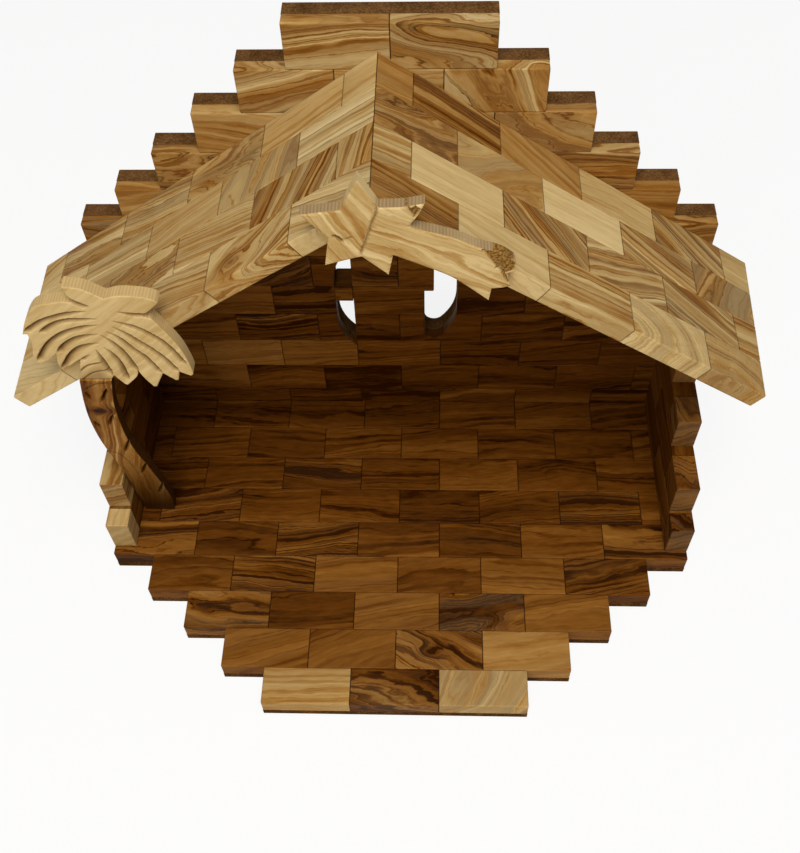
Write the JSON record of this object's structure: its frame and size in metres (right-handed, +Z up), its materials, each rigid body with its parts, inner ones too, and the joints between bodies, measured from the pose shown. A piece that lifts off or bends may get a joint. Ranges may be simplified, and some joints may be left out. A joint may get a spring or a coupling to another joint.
{
  "type": "nativity stable",
  "caption": "Small open-fronted stable of glued olive-wood bricks with a stepped gable wall, pitched roof, comet star, palm tree and stepped floor, used to house nativity figures.",
  "frame": {"origin": "underside of the floor board, in the middle of the brickwork from side to side and halfway between the floor's front edge and the back of the wall", "axes": "+X to the right as seen from the front, +Y from the open front to the back wall, +Z up"},
  "size_m": [0.3196, 0.182, 0.2414],
  "materials": {
    "base_board": "raw dark board edge",
    "floor_brick": "waxed olive wood",
    "fibreboard": "raw fibreboard",
    "wall_brick": "waxed olive wood",
    "side_brick": "waxed olive wood",
    "roof_brick": "waxed olive wood",
    "star_wood": "carved olive wood",
    "crown_wood": "carved olive wood",
    "trunk_wood": "carved olive wood"
  },
  "bodies": {
    "root": {"floor_board": "base_board", "floor_row_1": "floor_brick", "floor_row_2": "floor_brick", "floor_row_3": "floor_brick", "floor_row_4": "floor_brick", "floor_row_5": "floor_brick", "floor_row_6": "floor_brick", "floor_row_7": "floor_brick", "floor_row_8": "floor_brick", "floor_row_9": "floor_brick", "back_board": "fibreboard", "back_wall_course_1": "wall_brick", "back_wall_course_2": "wall_brick", "back_wall_course_3": "wall_brick", "back_wall_course_4": "wall_brick", "back_wall_course_5": "wall_brick", "back_wall_course_6": "wall_brick", "back_wall_course_7": "wall_brick", "back_wall_course_8": "wall_brick", "back_wall_course_9": "wall_brick", "back_wall_course_10": "wall_brick", "back_wall_course_11": "wall_brick", "back_wall_course_12": "wall_brick", "window_crosspiece": "wall_brick", "left_wall_course_1": "side_brick", "left_wall_course_2": "side_brick", "left_wall_course_3": "side_brick", "left_wall_course_4": "side_brick", "left_wall_course_5": "side_brick", "left_wall_course_6": "side_brick", "right_wall_course_1": "side_brick", "right_wall_course_2": "side_brick", "right_wall_course_3": "side_brick", "right_wall_course_4": "side_brick", "right_wall_course_5": "side_brick", "right_wall_course_6": "side_brick", "left_roof_row_1": "roof_brick", "left_roof_row_2": "roof_brick", "left_roof_row_3": "roof_brick", "left_roof_row_4": "roof_brick", "right_roof_row_1": "roof_brick", "right_roof_row_2": "roof_brick", "right_roof_row_3": "roof_brick", "right_roof_row_4": "roof_brick", "comet_star": "star_wood", "palm_crown": "crown_wood", "palm_trunk": "trunk_wood"}
  },
  "joints": []
}
